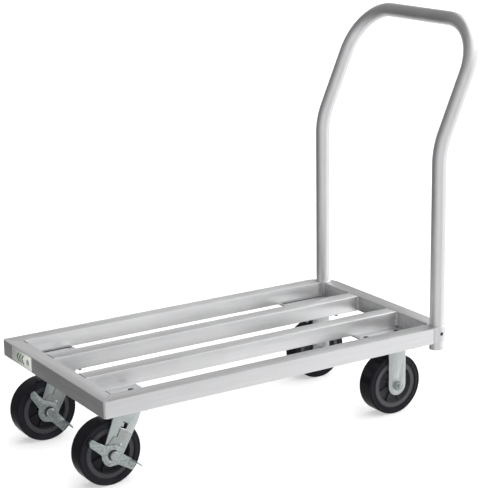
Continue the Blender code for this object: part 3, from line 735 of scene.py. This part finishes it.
def sockets():
    for side, word in SIDES:
        low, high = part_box("handle_socket_" + word)
        spot = ((low.x + high.x) / 2, (low.y + high.y) / 2, 0)
        outer = (high.x - low.x) / 2
        bore = outer - SOCKET_WALL
        edge = SOCKET_EDGE
        profile = [(bore, low.z), (outer - edge, low.z), (outer, low.z + edge), (outer, high.z - edge),
                   (outer - edge, high.z), (bore, high.z)]
        sleeve = piece("socket_" + word, *lathe(profile, "Z", spot, 64), "pipe", "frame", smooth=40,
                       slot="aluminium", stands_for=("handle_socket_" + word,))
        screw = middle("lock_screw_" + word)
        spot = (screw.x, spot[1], screw.z)
        hole = prism(arc((0, 0), SCREW_HOLE_RADIUS, 0, 345, 23), "Y", side * 0.008, side * 0.03, spot)
        cut(sleeve, hole, "hole")
        sleeve.data.shade_smooth()
        sleeve.data.set_sharp_from_angle(angle=math.radians(40))
        dress(frame["nodes"]["lock_screw_" + word], "black", 0.0003, weld=True)
        dress(frame["nodes"]["weld_side_" + word], "ground", 0.0008, weld=True)
        dress(frame["nodes"]["weld_end_" + word], "ground", 0.0008, weld=True)


# ---------------------------------------------------------------- wheels

def wheel(word, body):
    """A tyre, a rim, and a core with a web, a boss and ribs on both faces."""
    low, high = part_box("tread_" + word)
    centre = (low + high) / 2
    radius = (high.z - low.z) / 2
    half = (high.y - low.y) / 2
    rim = RIM_RADIUS
    groove = GROOVE_RADIUS
    shoulder = SHOULDER
    tyre = [(rim + 0.0003, half - 0.0020), (rim + 0.0008, half - 0.0006), (rim + 0.0016, half - 0.0002),
            (rim + 0.0030, half - 0.0001), (groove - 0.0007, half), (groove - 0.0002, half - 0.0004),
            (groove + 0.0002, half - 0.0004), (groove + 0.0007, half), (radius - shoulder, half)]
    for i in range(1, 13):
        angle = math.radians(90 * i / 12)
        tyre.append((radius - shoulder + shoulder * math.sin(angle),
                     half - shoulder * (1 - math.cos(angle))))
    tyre.append((radius, 0.004))
    profile = tyre + [(r, -along) for r, along in reversed(tyre)]
    piece("tyre_" + word, *lathe(profile, "Y", centre), "rubber", body, smooth=60, slot="rubber",
          stands_for=("tread_" + word,))

    rim_half = half - RIM_INSET
    # The front wheels take the darker copies of the plastics, painted shade, and the rear wheels the lighter
    # ones, painted light.
    end = word.split("_")[0]
    ring = [(0.0462, rim_half - 0.0150), (0.0474, rim_half - 0.0012), (0.0480, rim_half - 0.0002),
            (0.0487, rim_half), (0.0494, rim_half - 0.0003), (0.0498, rim_half - 0.0009),
            (0.0566, rim_half - 0.0009), (0.0570, rim_half - 0.0003), (0.0576, rim_half),
            (rim, rim_half - 0.0004)]
    profile = ring + [(r, -along) for r, along in reversed(ring)]
    piece("rim_" + word, *lathe(profile, "Y", centre), "rim_" + end, body, smooth=50, slot="hub_plastic",
          stands_for=("hub_" + word,))

    boss = BOSS_RADIUS
    web = [(0.0098, 0.0255), (boss - 0.001, 0.0255), (boss, 0.0245), (boss + 0.0022, 0.0085),
           (boss + 0.004, 0.0072), (0.043, 0.0072), (0.0466, 0.0100)]
    profile = web + [(r, -along) for r, along in reversed(web)]
    parts = [lathe(profile, "Y", centre, 72)]
    for i in range(RIB_COUNT):
        turn = 2 * math.pi * (i + 0.5) / RIB_COUNT
        along = Vector((math.cos(turn), 0, math.sin(turn)))
        across = Vector((-math.sin(turn), 0, math.cos(turn)))
        for sign in (-1, 1):
            corners = [(0.016, 0), (0.0475, 0), (0.0475, 0.0170), (0.041, 0.0130), (0.026, 0.0130),
                       (0.016, 0.0200)]
            corners = [(r, y * sign) for r, y in corners]
            points = []
            for width in (-RIB_THICK / 2, RIB_THICK / 2):
                points += [centre + along * r + across * width + Vector((0, y, 0)) for r, y in corners]
            parts.append((points, prism_faces(len(corners))))
    piece("core_" + word, *joined(*parts), "core_" + end, body, smooth=35, slot="hub_plastic")


# ---------------------------------------------------------------- casters

def nut(centre, axis, flats, height, turn=0, sign=1):
    """A hexagon nut or bolt head with its chamfered corners, standing on the centre point."""
    outline = hexagon(flats, turn)
    origin = Vector(centre)
    points = []
    for share, rise in ((0.93, 0.0), (1.0, 0.08), (1.0, 0.86), (0.90, 1.0)):
        points += [origin + place(axis, sign * rise * height, a * share, b * share) for a, b in outline]
    rows = 4
    faces = [list(range(6)), list(range(18, 24))]
    for row in range(rows - 1):
        for i in range(6):
            j = (i + 1) % 6
            faces.append([row * 6 + i, row * 6 + j, row * 6 + 6 + j, row * 6 + 6 + i])
    return points, faces


def dome(centre, axis, radius, height, sign=1, segments=32):
    profile = [(radius, 0), (radius, height * 0.25)]
    for i in range(1, 7):
        angle = math.radians(90 * i / 6)
        profile.append((radius * math.cos(angle) if i < 6 else 0, height * (0.25 + 0.75 * math.sin(angle))))
    return lathe([(r, sign * along) for r, along in profile] + [(0, 0)], axis, centre, segments)


def plate_bolts(name, plate):
    """Four low black bolts down through both plates, with nuts and washers below."""
    low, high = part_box(plate)
    centre = (low + high) / 2
    top = box_of("corner_plate_front_near")[1].z
    heads = []
    nuts = []
    for sx in (-0.5, 0.5):
        for sy in (-0.5, 0.5):
            x, y = centre.x + sx * BOLT_SPACING_X, centre.y + sy * BOLT_SPACING_Y
            turn = 50 * sx + 26 * sy
            heads.append(dome((x, y, top), "Z", BOLT_HEAD_RADIUS, BOLT_HEAD_HEIGHT))
            below = low.z - WASHER_THICK
            nuts.append(nut((x, y, below), "Z", NUT_FLATS, NUT_HEIGHT, turn, -1))
            washer = [(0, below), (WASHER_RADIUS, below), (WASHER_RADIUS, low.z), (0, low.z)]
            nuts.append(lathe(washer, "Z", (x, y, 0), 28))
            shank = [(0, BOLT_END_Z), (BOLT_RADIUS - 0.0006, BOLT_END_Z), (BOLT_RADIUS, BOLT_END_Z + 0.0006),
                     (BOLT_RADIUS, top), (0, top)]
            nuts.append(lathe(shank, "Z", (x, y, 0), 20))
    piece(name + "_heads", *joined(*heads), "black", "frame", smooth=50, slot="zinc")
    piece(name + "_nuts", *joined(*nuts), "nut", "frame", 0.0003, smooth=28, slot="zinc")


def leaned(across, along):
    """The X and Z of a place across and along the leaning leg, from the axle."""
    one, other = math.cos(LEG_LEAN), math.sin(LEG_LEAN)
    return (across * one + along * other, -across * other + along * one)


def turned(points_faces, angle, centre):
    """The same shape, turned about a line along Y."""
    points, faces = points_faces
    spin = Matrix.Translation(centre) @ Matrix.Rotation(angle, 4, "Y") @ Matrix.Translation(-centre)
    return [spin @ Vector(point) for point in points], faces


def brake(side, word):
    """The leaf with its rivets, hook and stop, the lever with its ridges, and the round axle bolt."""
    head_low, bolt_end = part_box("axle_front_" + word)
    axle = middle("tread_front_" + word)
    leaf_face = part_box("brake_leaf_" + word)[0].y
    lever_face = head_low.y + AXLE_HEAD_HEIGHT + FACE_GAP
    body = "swivel_" + word
    at = Vector((axle.x, 0, axle.z))
    dress(frame["nodes"]["brake_leaf_" + word], "leaf", SHEET_EDGE, weld=True)
    dress(frame["nodes"]["brake_lever_" + word], "lever", 0.0007, weld=True)

    parts = []
    for across, along, size in ((0.0076, 0.0267, 0.0034), (0.0025, 0.0190, 0.0022)):
        x, z = leaned(across, along)
        parts.append(dome((axle.x + x, leaf_face, axle.z + z), "Y", size, size * 0.6, -1))
    piece("leaf_rivets_" + word, *joined(*parts), "bright", body, smooth=50, slot="zinc")

    leg_face = axle.y - LEG_OUTER
    bend = arc((leaf_face + HOOK_BEND, HOOK_HEIGHT), HOOK_BEND, 180, 90, 6)
    inner = arc((leaf_face + HOOK_BEND, HOOK_HEIGHT), HOOK_BEND - HOOK_THICK, 90, 180, 6)
    section = bend + [(leg_face + 0.006, HOOK_HEIGHT + HOOK_BEND),
                      (leg_face + 0.006, HOOK_HEIGHT + HOOK_BEND - HOOK_THICK)] + inner
    points = []
    for across in (-0.0071, 0.0076):
        for y, along in section:
            x, z = leaned(across, along)
            points.append(at + Vector((x, y, z)))
    piece("leaf_hook_" + word, points, prism_faces(len(section)), "bright", body, 0.0003, smooth=50,
          slot="zinc")
    stop = [(-0.0070, 0.0645), (-0.0004, 0.0645), (-0.0012, 0.0735), (-0.0070, 0.0758)]
    stop = prism([leaned(*point) for point in stop], "Y", leg_face + 0.0010, leg_face + 0.0026, at)
    piece("leaf_stop_" + word, *stop, "fork", body, 0.0004, slot="zinc")

    turn = math.radians(LEVER_PRESSED) if side > 0 else 0
    sunk = lever_face + DETAIL_SUNK
    outward = Vector(LEVER_ARM).normalized()
    across = Vector((-outward.y, outward.x))
    ridges = []
    for i in range(RIDGES):
        spot = Vector(LEVER_TIP) - outward * (0.0040 + 0.0034 * i) - across * 0.0100
        corners = [spot + outward * u + across * v for u, v in ((-0.0006, -0.0075), (0.0006, -0.0075),
                                                                (0.0006, 0.0080), (-0.0006, 0.0080))]
        ridges.append(prism([tuple(c) for c in corners], "Y", lever_face - 0.0006, sunk, at))
    piece("lever_ridges_" + word, *turned(joined(*ridges), turn, at), "lever", "brake_" + word, 0.0003,
          slot="zinc")
    lip = arc(LOBE_CENTRE, LOBE_RADIUS - 0.0001, 204, 262, 8)
    lip += arc(LOBE_CENTRE, LOBE_RADIUS - 0.0026, 262, 204, 8)
    lip = prism(lip, "Y", lever_face - 0.0030, sunk, at)
    piece("lever_lip_" + word, *turned(lip, turn, at), "axle", "brake_" + word, 0.0007, smooth=50,
          slot="zinc")

    seat = lever_face - FACE_GAP
    end = bolt_end.y
    # A black disc in the lever's face round the axle head: painted shade in the gap round the head.
    shadow_disc = prism(arc(SHADOW_DISC_CENTRE, SHADOW_DISC_RADIUS, 0, 345, 23), "Y", lever_face - 0.0002, sunk, at)
    piece("lever_recess_shadow_" + word, *turned(shadow_disc, turn, at), "black", "brake_" + word, slot="zinc")
    thread = 0.0060
    head = AXLE_HEAD_RADIUS
    profile = [(0, end), (thread - 0.001, end), (thread, end - 0.001), (thread, seat),
               (head - 0.0004, seat), (head, seat - 0.0004), (head, seat - 0.0052)]
    for i in range(1, 8):
        angle = math.radians(90 * i / 7)
        profile.append((head - 0.0030 + 0.0030 * math.cos(angle), seat - 0.0052 - 0.0026 * math.sin(angle)))
    profile += [(0.0046, seat - 0.0078), (0.0042, seat - 0.0072), (0.0036, seat - 0.0072),
                (0, seat - 0.0074)]
    piece("axle_bolt_front_" + word, *lathe(profile, "Y", at, 56), "axle", body, smooth=40, slot="zinc",
          stands_for=("axle_front_" + word,))


def rear_axle_bolt(word):
    """The rigid caster's axle bolt: a hexagon head on a washer, with a short threaded end out of it."""
    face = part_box("rigid_fork_" + word)[0].y
    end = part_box("axle_rear_" + word)[1].y
    centre = middle("tread_rear_" + word)
    at = Vector((centre.x, 0, centre.z))
    thick = 0.0018
    tall = 0.0088
    head = nut((centre.x, face - thick, centre.z), "Y", 0.0190, tall, 8, -1)
    washer = [(0, face - thick), (0.0118, face - thick), (0.0122, face - thick + 0.0004), (0.0122, face),
              (0, face)]
    washer = lathe(washer, "Y", at, 40)
    shank = lathe([(0, face), (0.006, face), (0.006, end - 0.001), (0.005, end), (0, end)], "Y", at, 40)
    start = face - thick - tall
    rows = [(0, start)]
    for i in range(4):
        rows += [(0.0060, start - 0.0009 * i), (0.0054, start - 0.0009 * i - 0.00045)]
    rows += [(0.0056, start - 0.0038), (0.0046, start - 0.0044), (0, start - 0.0044)]
    tail = lathe(rows, "Y", at, 40)
    piece("axle_bolt_rear_" + word, *joined(head, washer, shank, tail), "axle", "frame", 0.0003, smooth=28,
          slot="zinc", stands_for=("axle_rear_" + word,))


def casters():
    nodes = frame["nodes"]
    for side, word in SIDES:
        dress(nodes["swivel_fork_" + word], "fork", 0.0008, weld=True)
        dress(nodes["rigid_fork_" + word], "straight_fork", 0.0008, weld=True)
        for name in ("caster_plate_", "rigid_plate_", "swivel_race_"):
            dress(nodes[name + word], "fork", 0.0005, weld=True)
        for name in ("kingpin_", "axle_nut_rear_", "axle_nut_front_", "bush_front_", "bush_rear_"):
            dress(nodes[name + word], "bright", 0.0003, weld=True)
        wheel("front_" + word, "wheel_front_" + word)
        wheel("rear_" + word, "wheel_rear_" + word)
        plate_bolts("swivel_bolts_" + word, "caster_plate_" + word)
        plate_bolts("rigid_bolts_" + word, "rigid_plate_" + word)
        brake(side, word)
        rear_axle_bolt(word)


# ---------------------------------------------------------------- label

def label():
    """The blank label gets a plain generic mark and a small grey patch, with no lettering."""
    dress(frame["nodes"]["deck_label"], "label", weld=True)
    low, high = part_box("deck_label")
    height = high.z - low.z
    face = low.x
    mid_z = (low.z + high.z) / 2
    start = low.y + 0.60 * (high.y - low.y)
    bars = []
    for i in range(3):
        y = start + (i - 1) * 0.0125
        lean = 0.010
        outline = [(y - 0.003 - lean, mid_z - 0.30 * height), (y + 0.003 - lean, mid_z - 0.30 * height),
                   (y + 0.003, mid_z + 0.02 * height), (y + 0.003 - lean, mid_z + 0.32 * height),
                   (y - 0.003 - lean, mid_z + 0.32 * height), (y - 0.003, mid_z + 0.02 * height)]
        bars.append(prism(outline, "X", face - 0.00015, face + 0.0002))
    piece("label_mark", *joined(*bars), "label_mark", "frame", slot="label")
    y = low.y + 0.17 * (high.y - low.y)
    outline = arc((y, mid_z), 0.0075, 0, 345, 23)
    patch = prism(outline, "X", face - 0.00015, face + 0.0002)
    piece("label_patch", *patch, "label_patch", "frame", slot="label")


# ---------------------------------------------------------------- studio

def world_dot(nodes, links, spot, direction):
    """How closely each way out of the studio agrees with one direction."""
    dot = nodes.new("ShaderNodeVectorMath")
    dot.operation = "DOT_PRODUCT"
    links.new(spot, dot.inputs[0])
    dot.inputs[1].default_value = direction
    return dot.outputs["Value"]


def step_between(nodes, links, value, low, high):
    """A soft step from 0 at low to 1 at high."""
    step = nodes.new("ShaderNodeMapRange")
    step.interpolation_type = "SMOOTHSTEP"
    step.inputs["From Min"].default_value = low
    step.inputs["From Max"].default_value = high
    links.new(value, step.inputs["Value"])
    return step.outputs["Result"]


def wall_ramp(nodes, links, turn, tones):
    """The tone at each direction round the studio."""
    tone = nodes.new("ShaderNodeValToRGB")
    tone.color_ramp.interpolation = "B_SPLINE"
    links.new(turn, tone.inputs["Fac"])
    points = tone.color_ramp.elements
    while len(points) < len(tones):
        points.new(0.5)
    for element, (where, level) in zip(points, tones):
        element.position = (where + 180) / 360
        element.color = (level, level, level * 1.01, 1)
    return tone.outputs["Color"]


def painted_floor_shadow():
    """A painted shadow: a dim glowing card standing in for the floor's shade under the deck, as its metal
    reflects it; only reflections see it.
    """
    reach_x, reach_y = CAD_BOX[1].x, CAD_BOX[1].y
    mesh = bpy.data.meshes.new("painted_floor_shadow")
    corners = [(-reach_x, -reach_y, 0.0001), (reach_x, -reach_y, 0.0001), (reach_x, reach_y, 0.0001),
               (-reach_x, reach_y, 0.0001)]
    mesh.from_pydata(corners, [], [(0, 1, 2, 3)])
    shade = bpy.data.objects.new("painted_floor_shadow", mesh)
    bpy.context.scene.collection.objects.link(shade)
    paint = Paint("painted_floor_shadow_glow", 0.0, 1.0, (0, 0, 0))
    paint.set("Specular IOR Level", 0.0)
    paint.set("Emission Color", (1, 1, 1, 1))
    paint.set("Emission Strength", FLOOR_SHADOW_TONE)
    spot = paint.node("ShaderNodeSeparateXYZ", {0: paint.place()})
    cover = None
    for axis, reach in (("X", reach_x), ("Y", reach_y)):
        inward = paint.math("SUBTRACT", reach, paint.math("ABSOLUTE", spot.outputs[axis], 0.0))
        share = paint.remap(inward, 0.0, 1.0, 0.0, FLOOR_SHADOW_EDGE)
        cover = paint.math("MULTIPLY", cover, share) if cover else share
    paint.drive("Alpha", cover)
    mesh.materials.append(paint.material)
    shade.visible_camera = False
    shade.visible_diffuse = False
    shade.visible_shadow = False
    shade.visible_transmission = False


def studio():
    """The floor, the walls' light by direction and height, the key light and the suns."""
    scene = bpy.context.scene
    scene.view_settings.view_transform = "Standard"
    floor_mesh = bpy.data.meshes.new("floor")
    size = FLOOR_REACH
    corners = [(-size, -size, 0), (size, -size, 0), (size, size, 0), (-size, size, 0)]
    floor_mesh.from_pydata(corners, [], [(0, 1, 2, 3)])
    floor = bpy.data.objects.new("floor", floor_mesh)
    scene.collection.objects.link(floor)
    paint = Paint("floor_paper", 0.0, 0.9, (0.92, 0.92, 0.92))
    paint.set("Specular IOR Level", 0.0)
    floor.data.materials.append(paint.material)
    floor.visible_glossy = False

    # A painted shadow under the deck, which only reflections see.
    painted_floor_shadow()

    world = bpy.data.worlds.new("studio")
    scene.world = world
    world.use_nodes = True
    nodes = world.node_tree.nodes
    links = world.node_tree.links
    spot = nodes.new("ShaderNodeTexCoord").outputs["Generated"]
    sideways = world_dot(nodes, links, spot, PICTURE_RIGHT)
    towards = world_dot(nodes, links, spot, PICTURE_RIGHT.cross(Vector((0, 0, 1))))
    around = nodes.new("ShaderNodeMath")
    around.operation = "ARCTAN2"
    links.new(sideways, around.inputs[0])
    links.new(towards, around.inputs[1])
    ramp = nodes.new("ShaderNodeMapRange")
    ramp.inputs["From Min"].default_value = -math.pi
    ramp.inputs["From Max"].default_value = math.pi
    links.new(around.outputs[0], ramp.inputs["Value"])
    height = nodes.new("ShaderNodeSeparateXYZ")
    links.new(spot, height.inputs[0])
    above = step_between(nodes, links, height.outputs["Z"], *LOW_TO_WALL)
    blend = nodes.new("ShaderNodeMix")
    blend.data_type = "RGBA"
    links.new(above, blend.inputs["Factor"])
    links.new(wall_ramp(nodes, links, ramp.outputs["Result"], LOW_TONES), blend.inputs[6])
    links.new(wall_ramp(nodes, links, ramp.outputs["Result"], WALL_TONES), blend.inputs[7])
    ceiling = step_between(nodes, links, height.outputs["Z"], *WALL_TO_HIGH)
    upper = nodes.new("ShaderNodeMix")
    upper.data_type = "RGBA"
    links.new(ceiling, upper.inputs["Factor"])
    links.new(blend.outputs[2], upper.inputs[6])
    links.new(wall_ramp(nodes, links, ramp.outputs["Result"], HIGH_TONES), upper.inputs[7])
    wide, narrow = (math.cos(math.radians(angle)) for angle in KEY_WIDTH)
    key = nodes.new("ShaderNodeMath")
    key.operation = "MULTIPLY_ADD"
    nearness = world_dot(nodes, links, spot, KEY_TOWARD)
    links.new(step_between(nodes, links, nearness, wide, narrow), key.inputs[0])
    key.inputs[1].default_value = KEY_TONE
    key.inputs[2].default_value = 1.0
    links.new(upper.outputs[2], nodes["Background"].inputs["Color"])
    links.new(key.outputs[0], nodes["Background"].inputs["Strength"])

    for name, energy, shadow, tilt, turn, width in SUNS:
        lamp = bpy.data.lights.new(name, "SUN")
        lamp.energy = energy
        lamp.angle = math.radians(width)
        lamp.use_shadow = shadow
        source = bpy.data.objects.new(name, lamp)
        source.rotation_euler = (math.radians(tilt), math.radians(turn), 0)
        source.visible_glossy = False
        scene.collection.objects.link(source)


def camera():
    scene = bpy.context.scene
    ahead = math.cos(CAMERA_PITCH)
    forward = Vector((math.sin(CAMERA_YAW) * ahead, math.cos(CAMERA_YAW) * ahead, -math.sin(CAMERA_PITCH)))
    upright = PICTURE_RIGHT.cross(forward)
    right = PICTURE_RIGHT * math.cos(CAMERA_ROLL) + upright * math.sin(CAMERA_ROLL)
    up = upright * math.cos(CAMERA_ROLL) - PICTURE_RIGHT * math.sin(CAMERA_ROLL)
    data = bpy.data.cameras.new("camera")
    data.lens = CAMERA_LENS
    data.sensor_width = 36
    data.sensor_fit = "AUTO"
    eye = bpy.data.objects.new("camera", data)
    turn = Matrix((right, up, -forward)).transposed().to_4x4()
    eye.matrix_world = Matrix.Translation(CAMERA_PLACE) @ turn
    scene.collection.objects.link(eye)
    scene.camera = eye


camera()
studio()
deck()
deck_welds()
seams()
handle()
sockets()
casters()
label()
